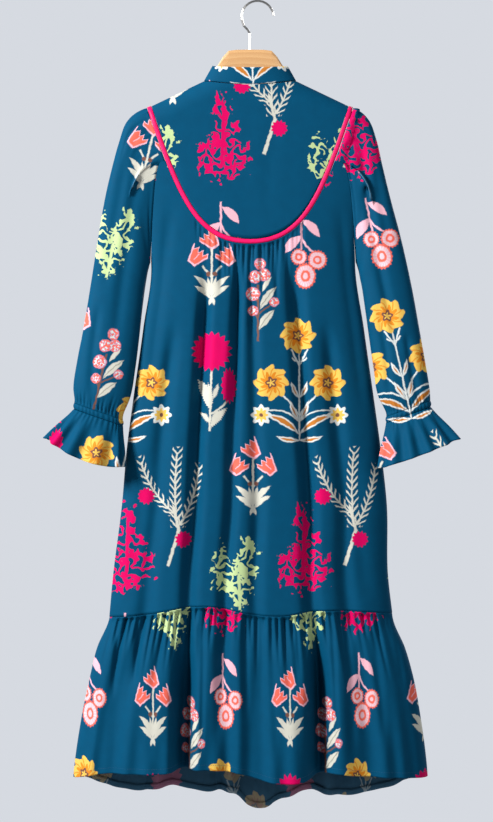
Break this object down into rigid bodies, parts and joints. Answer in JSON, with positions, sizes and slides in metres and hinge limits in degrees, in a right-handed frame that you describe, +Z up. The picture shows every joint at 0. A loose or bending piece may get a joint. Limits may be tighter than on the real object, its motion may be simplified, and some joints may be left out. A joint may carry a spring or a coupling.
{
  "type": "midi dress on a hanger",
  "caption": "Long-sleeved midi dress with a piped U-shaped yoke, stand collar, frilled cuffs and a gathered hem tier, hanging on a wooden hanger.",
  "frame": {"origin": "inside of the top of the hanger's hook, where it bears on a rail", "axes": "+Z up, -Y out of the back of the dress, +X to the right seen from behind the dress"},
  "size_m": [0.6665, 0.1536, 1.3234],
  "materials": {
    "print_cloth": "soft matt viscose with a flower print",
    "piping_cloth": "bright pink piping",
    "hanger_wood": "clear lacquer",
    "hook_wire": "nickel plated"
  },
  "bodies": {
    "root": {"back_yoke": "print_cloth", "front_yoke": "print_cloth", "collar_band": "print_cloth", "piping_back": "piping_cloth", "piping_front": "piping_cloth", "back_body": "print_cloth", "front_body": "print_cloth", "back_tier": "print_cloth", "front_tier": "print_cloth", "sleeve_left": "print_cloth", "sleeve_right": "print_cloth", "cuff_band_left": "print_cloth", "cuff_band_right": "print_cloth", "cuff_ruffle_left": "print_cloth", "cuff_ruffle_right": "print_cloth", "hanger_wood": "hanger_wood", "hanger_hook": "hook_wire"}
  },
  "joints": []
}
